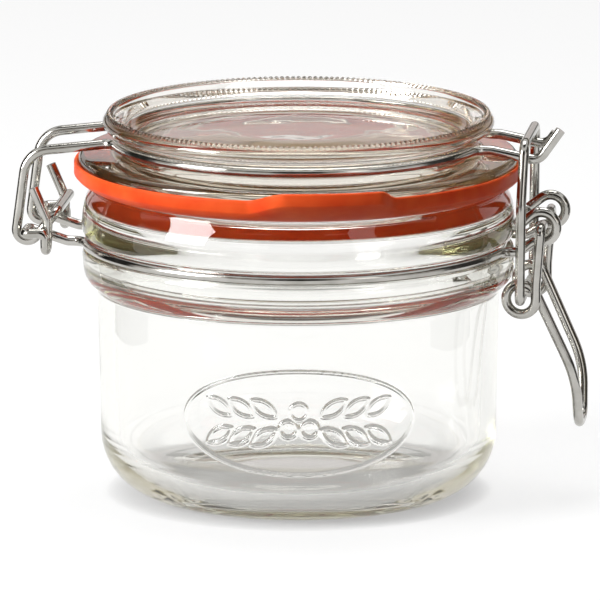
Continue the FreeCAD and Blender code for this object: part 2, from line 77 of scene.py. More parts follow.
# Away from its tab the seal is round and stands a known step outside the neck.
NECK = seal_high.y - SEAL_PROUD
LIP_TOP = jar_high.z
LID_TOP = lid_high.z
SEAL_LOW = seal_low.z
SEAT_GAP = SEAL_LOW - LIP_TOP
FLANGE_LOW = SEAL_LOW + SEAL_THICK + SEAT_GAP
FLANGE = lid_high.x
MOUTH = NECK - NECK_TO_MOUTH
print(f"neck radius {NECK:.2f}, lip at {LIP_TOP:.2f}, flange {FLANGE:.2f} at {FLANGE_LOW:.2f} mm")

# %% [markdown]
# ## Outlines
# Jar, lid and seal are turned shapes, so each starts as an outline: a list of corners in the
# half plane (radius, height). The stretch that ends at a corner is straight, or an arc that
# turns left or right on its way. Blender's Bevel could round the corners afterwards, but arcs
# with a radius of their own follow moulded glass more closely.

# %% Outlines
ARC_STEP = math.radians(9)
RUN_STEP = 2.5


def arc_points(start, end, turn):
    """Points after start up to end, on an arc that turns left or right with a radius."""
    way, radius = turn
    side = 1 if way == "left" else -1
    chord = end - start
    half = chord.length / 2
    left = Vector((-chord.y, chord.x)).normalized()
    centre = (start + end) / 2 + left * side * math.sqrt(max(radius**2 - half**2, 0))
    swing = 2 * math.asin(min(half / radius, 1))
    count = max(2, math.ceil(swing / ARC_STEP))
    first = math.atan2(start.y - centre.y, start.x - centre.x)
    angles = [first + side * swing * k / count for k in range(1, count + 1)]
    return [centre + radius * Vector((math.cos(a), math.sin(a))) for a in angles]


def outline_points(corners):
    """The whole outline as closely spaced points."""
    points = [Vector(corners[0][:2])]
    for across, up, turn in corners[1:]:
        start, end = points[-1], Vector((across, up))
        if turn:
            points += arc_points(start, end, turn)
        else:
            count = max(1, math.ceil((end - start).length / RUN_STEP))
            points += [start.lerp(end, k / count) for k in range(1, count + 1)]
    return points


print(f"points every {math.degrees(ARC_STEP):.0f} degrees on an arc, {RUN_STEP} mm on a run")

# %% [markdown]
# ## Turning
# Blender's Screw modifier could turn an outline, but beads, an ornament and a pull tab break the
# round. So the rows are laid one by one, and a shape object may move the points of some rows. It
# has the rows that it moves, the number of points that such a row has to each segment, and a
# function at(index, point, angle) that gives a point's new radius and height.

# %% Turned meshes
ON_AXIS = 1e-6


def even_angles(count):
    return [2 * math.pi * k / count for k in range(count)]


def turn_outline(points, angles, shape):
    """The outline turned round the axis, closed where both of its ends are off the axis."""
    made = bmesh.new()
    rows = []
    segments = len(angles)
    for index, point in enumerate(points):
        if point.x < ON_AXIS:
            rows.append([made.verts.new((0, 0, point.y))])
            continue
        moved = index in shape.rows
        row = []
        for angle in even_angles(segments * shape.each) if moved and shape.each > 1 else angles:
            radius, height = shape.at(index, point, angle) if moved else point
            place = (radius * math.cos(angle), radius * math.sin(angle), height)
            row.append(made.verts.new(place))
        rows.append(row)
    for below, above in zip(rows, rows[1:]):
        join_rows(made, below, above, segments)
    if len(rows[-1]) > 1 and len(rows[0]) > 1:
        join_rows(made, rows[-1], rows[0], segments)
    return made


def stretch(row, segment, segments):
    """The points of a row that border a segment; the row may be one point on the axis."""
    if len(row) == 1:
        return [row[0]]
    each = len(row) // segments
    return [row[(segment * each + n) % len(row)] for n in range(each + 1)]


def join_rows(made, below, above, segments):
    """Faces between two rows, four-sided where both have as many points."""
    for segment in range(segments):
        low = stretch(below, segment, segments)
        high = stretch(above, segment, segments)
        if len(below) == len(above) > 1:
            for n in range(len(low) - 1):
                made.faces.new((low[n], low[n + 1], high[n + 1], high[n]))
        else:
            made.faces.new(low + high[::-1])


def mesh_object(name, made):
    """An object in the scene from bmesh data, which is freed."""
    mesh = bpy.data.meshes.new(name)
    made.to_mesh(mesh)
    made.free()
    thing = bpy.data.objects.new(name, mesh)
    bpy.context.scene.collection.objects.link(thing)
    return thing


def make_piece(name, body, node, made):
    """A smooth mesh in metres that rides on a body and stands for a CAD node."""
    bmesh.ops.recalc_face_normals(made, faces=made.faces)
    bmesh.ops.scale(made, verts=made.verts, vec=(MM, MM, MM))
    piece = mesh_object(name, made)
    piece.data.shade_smooth()
    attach(piece, body)
    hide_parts(node)
    print(f"{name}: {len(piece.data.vertices)} points, {len(piece.data.polygons)} faces")
    return piece


print(f"60 segments are {math.degrees(even_angles(60)[1]):.0f} degrees apart")

# %% [markdown]
# ## Jar body, outside
# The jar is moulded soda-lime glass. From the foot ring the outline goes up the rounded heel and
# the wall to a bead at the shoulder, the neck with the wire's groove, and the lip. It follows
# the CAD solid, with edges rounded as a mould leaves them.

# %% Jar body, outside
BODY = NECK - 3.0
HEEL = BODY - 0.6
HEEL_ARC = 12.5
FOOT = HEEL - HEEL_ARC
FOOT_RING = 1.6
FOOT_HOLLOW = 1.6
SHOULDER = LIP_TOP - 20.75
GROOVE = LIP_TOP - 11.55
GROOVE_HALF = 1.35
GROOVE_FLOOR = NECK - 1.9
GROOVE_ARC = 0.9
GROOVE_LIP = NECK - 0.3
LIP = NECK - 1.6
LIP_ARC = 1.2


def jar_outside():
    """Corners from the middle of the underside up to the lip."""
    low, high = GROOVE - GROOVE_HALF, GROOVE + GROOVE_HALF
    foot = [
        (0, FOOT_HOLLOW, None),
        (FOOT * 0.5, FOOT_HOLLOW, None),
        (FOOT - 4.8, 0.64, None),
        (FOOT - FOOT_RING, 0, ("right", 14)),
        (FOOT, 0, None),
    ]
    wall_and_bead = [
        (HEEL, HEEL_ARC, ("left", HEEL_ARC)),
        (BODY, SHOULDER - 0.9, None),
        (BODY + 0.7, SHOULDER + 0.35, ("right", 1.5)),
        (NECK - 0.2, SHOULDER + 3.3, ("left", 4.6)),
        (NECK, low - 2.05, None),
    ]
    groove = [
        (GROOVE_LIP, low, ("left", 4.5)),
        (GROOVE_FLOOR + GROOVE_ARC, low, None),
        (GROOVE_FLOOR, low + GROOVE_ARC, ("right", GROOVE_ARC)),
        (GROOVE_FLOOR, high - GROOVE_ARC, None),
        (GROOVE_FLOOR + GROOVE_ARC, high, ("right", GROOVE_ARC)),
        (GROOVE_LIP, high, None),
    ]
    lip = [
        (NECK, high + 3.25, ("left", 5)),
        (LIP, LIP_TOP - LIP_ARC, ("left", 11)),
        (LIP - LIP_ARC, LIP_TOP, ("left", LIP_ARC)),
    ]
    return foot + wall_and_bead + groove + lip


print(f"body radius {BODY:.2f}, shoulder at {SHOULDER:.2f}, groove at {GROOVE:.2f} mm")

# %% [markdown]
# ## Jar body, inside
# What the eye sees in clear glass is mostly its inner faces, which mirror and bend whatever
# lies behind them. The CAD solid has a straight bore under the lip, one long rounding behind the
# shoulder and a thicker floor. Here the collar has a bevelled underside, which mirrors the
# orange seal as a second band, the wall slants behind the shoulder, and the floor is 4.6 mm. The
# mouth's width, the wall lower down and everything outside stay as they are in the solid, so
# the lid and the wires fit as before.

# %% Jar body, inside
MOUTH_ARC = 0.6
COLLAR_SKIRT = 1.9
COLLAR_BEVEL = (4.4, 4.3)
COLLAR_DEPTH = (4.8, 5.1)
COLLAR_ARC = 0.9
WALL = 3.3
FLOOR = 4.6
FLOOR_ARC = 8.8


def jar_inside():
    """Corners from the lip down to the middle of the floor."""
    collar = [
        (MOUTH + MOUTH_ARC, LIP_TOP, None),
        (MOUTH, LIP_TOP - MOUTH_ARC, ("left", MOUTH_ARC)),
        (MOUTH, LIP_TOP - COLLAR_SKIRT, None),
        (MOUTH + COLLAR_BEVEL[0], LIP_TOP - COLLAR_BEVEL[1], None),
        (MOUTH + COLLAR_DEPTH[0], LIP_TOP - COLLAR_DEPTH[1], ("right", COLLAR_ARC)),
    ]
    behind_groove_and_shoulder = [
        (MOUTH + 1.0, GROOVE - 2.0, None),
        (MOUTH, SHOULDER + 4.9, None),
        (MOUTH, SHOULDER + 4.2, None),
        (BODY - WALL, SHOULDER + 1.6, None),
        (BODY - WALL, SHOULDER, None),
    ]
    floor = [
        (HEEL - WALL, FLOOR + FLOOR_ARC, None),
        (HEEL - WALL - FLOOR_ARC, FLOOR, ("right", FLOOR_ARC)),
        (0, FLOOR, None),
    ]
    return collar + behind_groove_and_shoulder + floor


print(f"mouth radius {MOUTH:.2f}, wall {WALL} mm, floor {FLOOR} mm")

# %% [markdown]
# ## Raised ornament
# A jar's mould often has an ornament cut into its front, which stands proud on the glass. This
# one is a plain oval with berries and leaves. A bump in the material would shade it, but would
# give it no edge of its own and leave it out of the mesh. So it is real shape: a rounded ridge
# along each drawn line, by which the wall's own points are moved out. The glass stays one closed
# solid.

# %% Lines of the ornament
OVAL = (24.0, 10.5)
BERRY = 1.7
BERRIES = ((-2.1, -1.2), (2.1, -1.2), (0.0, 2.3))
LEAF_LENGTH, LEAF_WIDTH = 6.0, 2.6
LEAF_FIRST, LEAF_STEP, LEAF_RISE = 7.0, 4.6, 2.9
LEAF_TURN = math.radians(32)
LEAVES = [(side * (LEAF_FIRST + LEAF_STEP * step), rise * LEAF_RISE, side * rise * LEAF_TURN)
          for side in (-1, 1) for step in range(3) for rise in (-1, 1)]


def to_oval(across, up):
    """Distance to the oval's line, near enough beside the line."""
    reach = math.hypot(across / OVAL[0], up / OVAL[1])
    slope = math.hypot(across / OVAL[0] ** 2, up / OVAL[1] ** 2)
    return abs(reach - 1) * reach / max(slope, ON_AXIS)


def to_berry(across, up, berry):
    """Distance to the circle round a berry."""
    middle_x, middle_y = berry
    return abs(math.hypot(across - middle_x, up - middle_y) - BERRY)


def to_leaf(across, up, leaf):
    """Distance to the line round a leaf, where two arcs meet in points."""
    middle_x, middle_y, turn = leaf
    dx, dy = across - middle_x, up - middle_y
    along = abs(dx * math.cos(turn) + dy * math.sin(turn))
    beside = abs(dy * math.cos(turn) - dx * math.sin(turn))
    half_long, half_wide = LEAF_LENGTH / 2, LEAF_WIDTH / 2
    bulge = (half_long**2 + half_wide**2) / (2 * half_wide)
    if along > half_long:
        return math.hypot(along - half_long, beside)
    return abs(math.hypot(along, beside + bulge - half_wide) - bulge)


print(f"ornament {2 * OVAL[0]:.0f} by {2 * OVAL[1]:.0f} mm, {len(LEAVES)} leaves")

# %% [markdown]
# ## Points for the ornament
# A ridge is less than a millimetre wide, so the wall needs points a quarter of a millimetre
# apart to show it. Such points all over the jar would be a heavy mesh. They are set only over
# the ornament, in closer rows and closer angles, and far apart on the rest.

# %% Jar body with its ornament
RIDGE_HALF = 0.46
RIDGE_HEIGHT = 0.42
FRONT = math.radians(-83)
ORNAMENT_HEIGHT = 22.0
ORNAMENT_HALF = OVAL[0] + 2
ORNAMENT_LOW = ORNAMENT_HEIGHT - OVAL[1] - 1
ORNAMENT_HIGH = ORNAMENT_HEIGHT + OVAL[1] + 1
OUTER_WALL = HEEL - 1
FINE_ROW = 0.25
CLOSE_ANGLES, WIDE_ANGLES = 216, 130


class Relief:
    """Moves the outer wall's points out where a ridge of the ornament runs."""

    each = 1

    def __init__(self, points):
        self.rows = {index for index, point in enumerate(points)
                     if ORNAMENT_LOW < point.y < ORNAMENT_HIGH and point.x > OUTER_WALL}

    def at(self, index, point, angle):
        across = ((angle - FRONT + math.pi) % (2 * math.pi) - math.pi) * BODY
        up = point.y - ORNAMENT_HEIGHT
        if abs(across) > ORNAMENT_HALF:
            return point
        lines = [to_oval(across, up)]
        lines += [to_berry(across, up, berry) for berry in BERRIES]
        lines += [to_leaf(across, up, leaf) for leaf in LEAVES]
        share = min(min(lines) / RIDGE_HALF, 1)
        return point + Vector((RIDGE_HEIGHT * (0.5 + 0.5 * math.cos(math.pi * share)), 0))


def jar_angles():
    """Angles round the jar: close together over the ornament, wider apart elsewhere."""
    half = ORNAMENT_HALF / BODY
    last = CLOSE_ANGLES - 1
    close = [FRONT - half + 2 * half * k / last for k in range(CLOSE_ANGLES)]
    wide = 2 * math.pi - 2 * half
    return close + [close[-1] + wide * k / WIDE_ANGLES for k in range(1, WIDE_ANGLES)]


def with_fine_rows(points):
    """The outline with extra rows on the outer wall over the ornament."""
    made = []
    for start, end in zip(points, points[1:]):
        made.append(start)
        goes_up = start.x > OUTER_WALL and end.y > start.y
        if goes_up and start.y < ORNAMENT_HIGH and end.y > ORNAMENT_LOW:
            count = math.ceil((end.y - start.y) / FINE_ROW)
            made += [start.lerp(end, k / count) for k in range(1, count)]
    return made + [points[-1]]


jar_points = with_fine_rows(outline_points(jar_outside() + jar_inside()))
jar = make_piece("jar_body", "jar", "jar_glass",
                 turn_outline(jar_points, jar_angles(), Relief(jar_points)))

# %% [markdown]
# ## Lid
# The lid is pressed in one piece: a skirt that sits in the mouth, a flange over the seal, a
# waist for the wire, and a dished top. Its outline follows the CAD solid. A row of small pressed
# beads runs round the rim's top edge, and catches the light as a dotted line.

# %% Lid outline
BEADS = 210
BEAD_HEIGHT = 0.6
BEAD_REACH = 0.62
WAIST = NECK - 7.3
WAIST_HALF = 0.9
WAIST_HEIGHT = FLANGE_LOW + 5.75
RIM = NECK - 4.1
RIM_EDGE = RIM - 1.4
RIM_TOP = LID_TOP - BEAD_HEIGHT
DISH = NECK - 8.6
DISH_FLOOR = LID_TOP - 4.6
DISH_CROWN = 0.9
FLANGE_TOP = FLANGE_LOW + 3.3
FLANGE_ARC = 1.2
CEILING = DISH_FLOOR - 3.4
CEILING_ARC = 2.2
SKIRT = MOUTH - 1.9
SKIRT_ARC = 1.2
SKIRT_LOW = FLANGE_LOW - 3.5


def lid_outline():
    """From the middle of the dish over the rim and flange to the middle of the ceiling."""
    dish = [
        (0, DISH_FLOOR + DISH_CROWN, None),
        (DISH * 0.4, DISH_FLOOR + DISH_CROWN, None),
        (DISH - 3, DISH_FLOOR, None),
        (DISH, DISH_FLOOR + 2.4, ("left", 2.8)),
        (DISH + 0.8, RIM_TOP - 0.9, None),
    ]
    rim = [
        (RIM - 2.4, RIM_TOP - 0.3, None),
        (RIM_EDGE, RIM_TOP, ("right", 1.2)),
        (RIM, RIM_TOP - 1.5, ("right", 1.6)),
        (RIM - 0.6, LID_TOP - 3.3, ("right", 2.0)),
    ]
    waist_and_flange = [
        (WAIST, WAIST_HEIGHT + WAIST_HALF, ("left", 3)),
        (WAIST, WAIST_HEIGHT - WAIST_HALF, None),
        (WAIST + 1.9, FLANGE_TOP + 0.1, ("left", 1.9)),
        (FLANGE - FLANGE_ARC, FLANGE_TOP - 0.2, None),
        (FLANGE, FLANGE_TOP - 1.4, ("right", FLANGE_ARC)),
        (FLANGE, FLANGE_LOW + 0.5, None),
        (FLANGE - 0.5, FLANGE_LOW, ("right", 0.5)),
    ]
    skirt_and_ceiling = [
        (SKIRT + 0.8, FLANGE_LOW, None),
        (SKIRT, FLANGE_LOW - 0.8, ("left", 0.8)),
        (SKIRT - 0.5, SKIRT_LOW + SKIRT_ARC, None),
        (SKIRT - 1.7, SKIRT_LOW, ("right", SKIRT_ARC)),
        (SKIRT - 2.9, SKIRT_LOW, None),
        (SKIRT - 4.4, CEILING - CEILING_ARC, None),
        (SKIRT - 6.6, CEILING, ("left", CEILING_ARC)),
        (0, CEILING, None),
    ]
    return outline_points(dish + rim + waist_and_flange + skirt_and_ceiling)


print(f"rim radius {RIM:.2f}, waist {WAIST:.2f}, dish floor at {DISH_FLOOR:.2f} mm")

# %% Lid with its beads


class BeadRow:
    """Lifts the rim's rows into beads: round along the outline and round the jar."""

    each = 8
    centre = Vector((RIM_EDGE, RIM_TOP))
    outward = Vector((0.25, 0.97))

    def __init__(self, points):
        self.rows = {index for index, point in enumerate(points)
                     if (point - self.centre).length < BEAD_REACH * 1.35}

    def at(self, index, point, angle):
        along = (point - self.centre).length / BEAD_REACH
        round_jar = abs(math.sin(angle * BEADS / 2))
        across = math.sqrt(max(1 - along**2, 0))
        return point + self.outward * BEAD_HEIGHT * across * round_jar**0.5


lid_points = lid_outline()
lid = make_piece("lid", "lid", "lid_glass",
                 turn_outline(lid_points, even_angles(BEADS), BeadRow(lid_points)))
print(f"{BEADS} beads, {2 * math.pi * RIM_EDGE / BEADS:.2f} mm apart")

# %% [markdown]
# ## Seal
# One moulded ring of rubber between lip and lid. Its underside lies a touch inside the lip's
# glass, as squeezed rubber wets glass with no air between, where the CAD solid keeps a small
# gap. Its free edge curls up beside the lid's flange, and its pull tab grows out of that edge
# and is bent up further. A separate tab would show a seam, so the tab is the ring's own edge,
# moved out and up over a stretch of the round.

# %% Section of the seal
SEAL_BORE = MOUTH + 0.5
SEAL_OUT = NECK + SEAL_PROUD
SEAL_EDGE = SEAL_OUT - 0.15
SQUEEZE = 0.03
BORE_EDGE = 0.3
CURL_START = NECK - 1.4
CURL_RISE = 1.9
CURL_ARC = 6.0
EDGE_TOP = 1.6
EDGE_ARC = 0.4
BESIDE_FLANGE = FLANGE + 0.12
EDGE_RUNS = 8
UNDERSIDE, TOPSIDE = LIP_TOP - SQUEEZE, FLANGE_LOW - SEAT_GAP
LIFTED, EDGE_HEIGHT = UNDERSIDE + CURL_RISE, TOPSIDE + EDGE_TOP


def seal_section():
    """Round the ring's section, from the bore under it and back over the top."""
    section = outline_points([
        (SEAL_BORE, TOPSIDE - BORE_EDGE, None),
        (SEAL_BORE, UNDERSIDE + BORE_EDGE, None),
        (SEAL_BORE + BORE_EDGE, UNDERSIDE, ("left", BORE_EDGE)),
        (CURL_START, UNDERSIDE, None),
        (SEAL_EDGE, LIFTED, ("left", CURL_ARC)),
        (SEAL_OUT, LIFTED + 0.2, None),
        (SEAL_OUT, EDGE_HEIGHT - EDGE_ARC, None),
        (SEAL_OUT - EDGE_ARC, EDGE_HEIGHT, ("left", EDGE_ARC)),
    ])
    start, inner_top = section[-1], Vector((BESIDE_FLANGE, EDGE_HEIGHT - 0.1))
    section += [start.lerp(inner_top, k / EDGE_RUNS) for k in range(1, EDGE_RUNS + 1)]
    return section + [Vector((BESIDE_FLANGE, TOPSIDE)), Vector((SEAL_BORE + BORE_EDGE, TOPSIDE))]


print(f"seal from {SEAL_BORE:.2f} to {SEAL_OUT:.2f} mm out, {EDGE_HEIGHT - UNDERSIDE:.2f} high")

# %% Rubber seal with its pull tab
TAB_ANGLE = math.radians(-75)
TAB_REACH = 4.45
TAB_RISE_BELOW = 2.5
TAB_RISE_ABOVE = 2.4
TAB_HALF = 8.5
TAB_FADE_LEFT = 8.5
TAB_FADE_RIGHT = 5.5
TAB_SWELL = 1.5
SEAL_SEGMENTS = 720
SHARP_EDGE = math.radians(50)
NEARLY = 0.001


def tab_share(angle):
    """0 away from the tab, 1 over its middle, fading in more slowly on its left."""
    off = ((angle - TAB_ANGLE + math.pi) % (2 * math.pi) - math.pi) * SEAL_OUT
    fade = TAB_FADE_RIGHT if off > 0 else TAB_FADE_LEFT
    edge = min(max((TAB_HALF + fade - abs(off)) / fade, 0.0), 1.0)
    return edge * edge * (3 - 2 * edge)


def tongue_weight(point):
    """How far a point of the section goes with the tab: 1 on the free edge, 0 at the flange."""
    if point.x <= CURL_START or abs(point.x - BESIDE_FLANGE) < NEARLY:
        return 0.0
    if point.y <= LIFTED + 10 * NEARLY:
        return min((point.x - CURL_START) / (SEAL_EDGE - CURL_START), 1.0) ** TAB_SWELL
    return min((point.x - BESIDE_FLANGE) / (SEAL_OUT - EDGE_ARC - BESIDE_FLANGE), 1.0)


class PullTab:
    """Moves the ring's free edge out and up over the tab's stretch."""

    each = 1

    def __init__(self, points):
        self.rows = range(len(points))
        self.weights = [tongue_weight(point) for point in points]
        shares = [(point.y - LIFTED) / (EDGE_HEIGHT - LIFTED) for point in points]
        self.rises = [TAB_RISE_BELOW + (TAB_RISE_ABOVE - TAB_RISE_BELOW) * min(max(share, 0), 1)
                      for share in shares]

    def at(self, index, point, angle):
        share = tab_share(angle) * self.weights[index]
        return point.x + TAB_REACH * share, point.y + self.rises[index] * share


def seal_mesh():
    """The ring with its tab; moulded edges stay sharp, the rest is shaded smooth."""
    section = seal_section()
    made = turn_outline(section, even_angles(SEAL_SEGMENTS), PullTab(section))
    for edge in made.edges:
        edge.smooth = edge.calc_face_angle(0) < SHARP_EDGE
    return made


seal = make_piece("seal_ring", "lid", "seal", seal_mesh())

# %% [markdown]
# ## Materials
# Each finish starts from what the real one is. Colours are written as sRGB hex values, which is
# how colour charts give them, and one function turns them into the linear values that shaders
# take. A pattern's scale comes from a real length: noise whose bumps are so many millimetres
# apart, read in object space, so that it stays on the piece when the piece moves.

# %% Material helpers
WHITE = (1, 1, 1, 1)


def colour(hex_text):
    """sRGB hex to the linear values that shaders take."""
    channels = [int(hex_text[k:k + 2], 16) / 255 for k in (1, 3, 5)]
    linear = [c / 12.92 if c <= 0.04045 else ((c + 0.055) / 1.055) ** 2.4 for c in channels]
    return (*linear, 1.0)


def new_material(name):
    material = bpy.data.materials.new(name)
    material.use_nodes = True
    return material, material.node_tree, material.node_tree.nodes["Principled BSDF"]


def add_node(tree, kind, values=None, **links):
    """A node with its settings or socket values, and links given as input_name=socket."""
    node = tree.nodes.new(kind)
    for key, value in (values or {}).items():
        if key in node.inputs:
            node.inputs[key].default_value = value
        else:
            setattr(node, key, value)
    for key, socket in links.items():
        tree.links.new(socket, node.inputs[key.replace("_", " ")])
    return node


def waves(tree, length_mm, detail):
    """Noise whose bumps are about length_mm apart on the object."""
    place = add_node(tree, "ShaderNodeTexCoord")
    return add_node(tree, "ShaderNodeTexNoise",
                    {"Scale": 1 / (length_mm * MM), "Detail": detail},
                    Vector=place.outputs["Object"])


def unevenness(tree, shader, length_mm, height_mm, strength, detail):
    """Small bumps on a surface, length_mm apart and height_mm high."""
    noise = waves(tree, length_mm, detail)
    bump = add_node(tree, "ShaderNodeBump", {"Strength": strength, "Distance": height_mm * MM},
                    Height=noise.outputs["Fac"])
    tree.links.new(bump.outputs["Normal"], shader.inputs["Normal"])


def two_shades(tree, shader, noise, dark, light):
    """The base colour drifts between two shades with the noise; dark and light are pairs."""
    shades = add_node(tree, "ShaderNodeValToRGB", Fac=noise.outputs["Fac"])
    for stop, (place, shade) in zip(shades.color_ramp.elements, (dark, light)):
        stop.position, stop.color = place, colour(shade)
    tree.links.new(shades.outputs["Color"], shader.inputs["Base Color"])


print("mid grey #808080 is", round(colour("#808080")[0], 3), "as a linear value")

# %% [markdown]
# ## Pressed clear glass
# Soda-lime glass from a mould. Its surface is fire-polished, so the roughness is 0, but it is
# never quite flat: waves a centimetre apart and a few hundredths of a millimetre high make
# reflections wander. A trace of iron tints it, which shows only where light goes a long way
# through it. So the colour is in the volume and not on the surface. Density is per metre: the
# jar's thin wall looks clear, its thick foot and collar look faintly tinted, and the lid, which
# is of a warmer glass, looks straw-coloured at the rim.

# %% Pressed clear glass
GLASS_IOR = 1.5


def pressed_glass(name, tint, density, wave_mm, wave_height_mm):
    """Glass with a tint in its depth and slightly uneven faces."""
    material, tree, shader = new_material(name)
    shader.inputs["Base Color"].default_value = WHITE
    shader.inputs["Roughness"].default_value = 0.0
    shader.inputs["IOR"].default_value = GLASS_IOR
    shader.inputs["Transmission Weight"].default_value = 1.0
    unevenness(tree, shader, wave_mm, wave_height_mm, strength=1.0, detail=1.0)
    depth = add_node(tree, "ShaderNodeVolumeAbsorption",
                     {"Color": colour(tint), "Density": density})
    output = tree.nodes["Material Output"]
    tree.links.new(depth.outputs["Volume"], output.inputs["Volume"])
    print(f"{name}: tint {tint}, density {density} per metre, waves {wave_mm} mm")
    return material


jar.data.materials.append(pressed_glass("clear_pressed_glass", "#D0D0B2", 18.0, 14, 0.04))
lid.data.materials.append(pressed_glass("olive_pressed_glass", "#CBB98C", 45.0, 9, 0.04))

# %% [markdown]
# ## Orange natural rubber
# The ring is moulded natural rubber with an orange pigment. It is matt with a faint powdery
# bloom, so it has little gloss. A little light goes into it and comes out redder, which softens
# its shadows, and the pigment is not quite even. Its grain is really finer than the 0.35 mm
# used here, and is drawn this coarse so that it shows.

# %% Orange natural rubber
RUBBER_CLOUD, RUBBER_GRAIN = 6, 0.35
RUBBER_GLOW_DEPTH = 0.0015


def moulded_rubber(name):
    """Soft natural rubber: matt, a little light goes into it, fine moulding grain."""
    material, tree, shader = new_material(name)
    cloudy = waves(tree, RUBBER_CLOUD, detail=3.0)
    two_shades(tree, shader, cloudy, dark=(0.3, "#E24718"), light=(0.7, "#F05E28"))
    shader.inputs["Roughness"].default_value = 0.45
    shader.inputs["Specular IOR Level"].default_value = 0.12
    shader.inputs["Subsurface Weight"].default_value = 0.25
    shader.inputs["Subsurface Radius"].default_value = (1.0, 0.35, 0.2)
    shader.inputs["Subsurface Scale"].default_value = RUBBER_GLOW_DEPTH
    unevenness(tree, shader, RUBBER_GRAIN, height_mm=0.03, strength=0.4, detail=2.0)
    print(f"{name}: clouds {RUBBER_CLOUD} mm, grain {RUBBER_GRAIN} mm")
    return material


seal.data.materials.append(moulded_rubber("orange_natural_rubber"))

# %% [markdown]
# ## Bright plated steel wire
# Round spring wire, drawn through a die and then plated. A metal's colour is the colour of its
# reflection, so the base is a light, slightly warm grey. Handling leaves duller patches a few
# millimetres across, and drawing leaves marks, here half a millimetre apart, which is coarser
# than real ones so that they show.

# %% Bright plated steel wire
WIRE_PATCHES, DRAWN_MARKS = 5, 0.5


def plated_wire(name):
    """Drawn steel wire with bright plating: mirror-like, with faint dull patches."""
    material, tree, shader = new_material(name)
    patches = waves(tree, WIRE_PATCHES, detail=3.0)
    two_shades(tree, shader, patches, dark=(0.35, "#A8A6A0"), light=(0.65, "#BDBBB6"))
    shader.inputs["Metallic"].default_value = 1.0
    dull = add_node(tree, "ShaderNodeMapRange",
                    {"From Min": 0.3, "From Max": 0.7, "To Min": 0.1, "To Max": 0.22},
                    Value=patches.outputs["Fac"])
    tree.links.new(dull.outputs["Result"], shader.inputs["Roughness"])
    unevenness(tree, shader, DRAWN_MARKS, height_mm=0.02, strength=0.3, detail=2.0)
    return material


steel = plated_wire("bright_plated_steel_wire")
for node in ("neck_wire", "lid_wire", "lever", "link"):
    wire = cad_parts[node]
    for slot in wire.material_slots:
        slot.material = steel
    print(node, "has", len(wire.material_slots), "material slot")

# %% [markdown]
# ## Floor
# A floor that is white by its lamps alone turns grey at its far edge, and throws so much light
# back that the glass burns out. So its paint is a mid grey, and it adds a white of its own, only
# for rays that the camera sends, straight or by way of glass and metal. The light on the jar
# stays plain, and the jar's shadow stays on the floor.
# Right under the jar that white would leave no contact shade, so it fades within 5 mm of
# anything that stands close, by the Ambient Occlusion node, as a painted contact shade.

# %% White floor
FLOOR_RADIUS = 1.6
FLOOR_DROP = 0.02
CONTACT_REACH = 5
CONTACT_WHITE, OPEN_WHITE = 0.35, 0.77


def background_rays(tree):
    """1 for what the camera sees straight, in metal or through glass; 0 for the light."""
    path = add_node(tree, "ShaderNodeLightPath")
    seen = path.outputs["Is Camera Ray"]
    for name in ("Is Glossy Ray", "Is Transmission Ray"):
        both = add_node(tree, "ShaderNodeMath", {"operation": "MAXIMUM"})
        tree.links.new(seen, both.inputs[0])
        tree.links.new(path.outputs[name], both.inputs[1])
        seen = both.outputs["Value"]
    return seen


def white_floor():
    made = bmesh.new()
    bmesh.ops.create_circle(made, cap_ends=True, segments=96, radius=FLOOR_RADIUS)
    floor = mesh_object("floor", made)
    floor.location.z = -FLOOR_DROP * MM
    material, tree, shader = new_material("white_sweep")
    shader.inputs["Base Color"].default_value = colour("#8C8C8C")
    shader.inputs["Roughness"].default_value = 0.9
    shader.inputs["Specular IOR Level"].default_value = 0.1
    # Painted contact shade: the floor's own white drops from OPEN_WHITE to CONTACT_WHITE near the
    # jar.
    near = add_node(tree, "ShaderNodeAmbientOcclusion", {"Distance": CONTACT_REACH * MM})
    own_white = add_node(tree, "ShaderNodeMapRange",
                         {"To Min": CONTACT_WHITE, "To Max": OPEN_WHITE},
                         Value=near.outputs["AO"])
    lift = add_node(tree, "ShaderNodeMath", {"operation": "MULTIPLY"})
    tree.links.new(background_rays(tree), lift.inputs[0])
    tree.links.new(own_white.outputs["Result"], lift.inputs[1])
    shader.inputs["Emission Color"].default_value = WHITE
    tree.links.new(lift.outputs["Value"], shader.inputs["Emission Strength"])
    floor.data.materials.append(material)
    print(f"floor {2 * FLOOR_RADIUS} m across, its own white {OPEN_WHITE}")


white_floor()

# %% [markdown]
# ## Surroundings
# Clear glass and bright wire have hardly any colour of their own: they show the room. A plain
# white world would make them vanish. So what they show is a studio in bands, from the horizon
# up: white at the floor's edge, a dark band low down, light walls, a dark band above them, a
# white ceiling light and dark straight overhead. What lights the jar is a weak plain white.

# %% Surroundings in bands
WORLD_LIGHT = 0.15
HORIZON_TOP = 0.005
OVERHEAD = "#2E2A24"
# Height of a direction, from 0 at the horizon to 1 straight up, and the shade there.
ROOM_BANDS = ((0.02, "#2C2A14"), (0.09, "#2C2A14"), (0.105, "#F6F2F2"),
              (0.19, "#EAE3E3"), (0.25, "#F2ECEA"), (0.29, "#B9AD8C"),
              (0.34, "#3A352B"), (0.54, "#3A352B"), (0.60, "#FFFFFF"),
              (0.84, "#FFFFFF"), (0.90, OVERHEAD))


